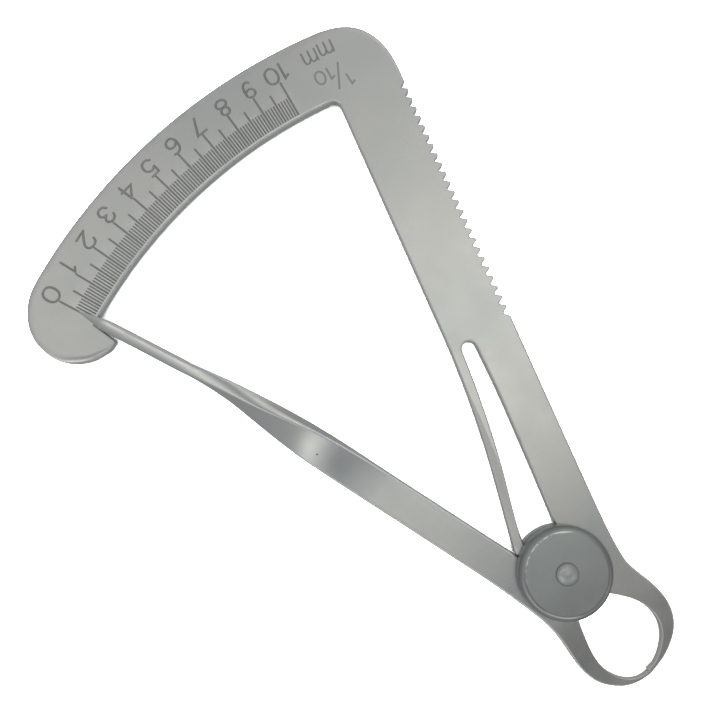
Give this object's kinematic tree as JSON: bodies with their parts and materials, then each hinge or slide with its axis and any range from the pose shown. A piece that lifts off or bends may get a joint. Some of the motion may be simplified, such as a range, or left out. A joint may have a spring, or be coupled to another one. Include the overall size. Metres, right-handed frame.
{
  "type": "dental thickness caliper",
  "caption": "Spring-closing thickness caliper: flat steel frame with a graduated sector, a twisted forked pointer arm on a riveted pivot, and two curved jaws that meet in a point.",
  "frame": {"origin": "on the pivot axis, in the plane of the back disc's flat face", "axes": "+Y along the frame arm from the pivot to the scale end, +Z out of the scale face towards the reader, +X towards the serrated grip edge"},
  "size_m": [0.067, 0.1023, 0.0065],
  "materials": {
    "frame_steel": "satin",
    "leaf_steel": "satin",
    "pointer_steel": "satin",
    "disc_steel": "satin, turned",
    "rivet_steel": "satin, domed"
  },
  "bodies": {
    "frame": {"scale_frame": "frame_steel", "front_disc": "disc_steel", "back_disc": "disc_steel", "pivot_rivet": "rivet_steel"},
    "pointer": {"pointer_arm": "pointer_steel"},
    "leaf": {"leaf_spring": "leaf_steel"}
  },
  "joints": [
    {"name": "pointer_pivot", "type": "hinge", "parent": "frame", "child": "pointer", "pos_m": [0, 0, 0.00252], "axis": [0, 0, -1], "range_deg": [0, 32.35], "stiffness_Nm_per_rad": 0.03, "springref_deg": -20.05},
    {"name": "leaf_flex", "type": "hinge", "parent": "frame", "child": "leaf", "pos_m": [-0.001, 0.0338, 0.00252], "axis": [0, 0, 1], "range_deg": [0, 7.7], "deforming": ["leaf_spring"]}
  ],
  "couplings": [
    {"joint": "leaf_flex", "follows": "pointer_pivot", "ratio": 0.235}
  ]
}
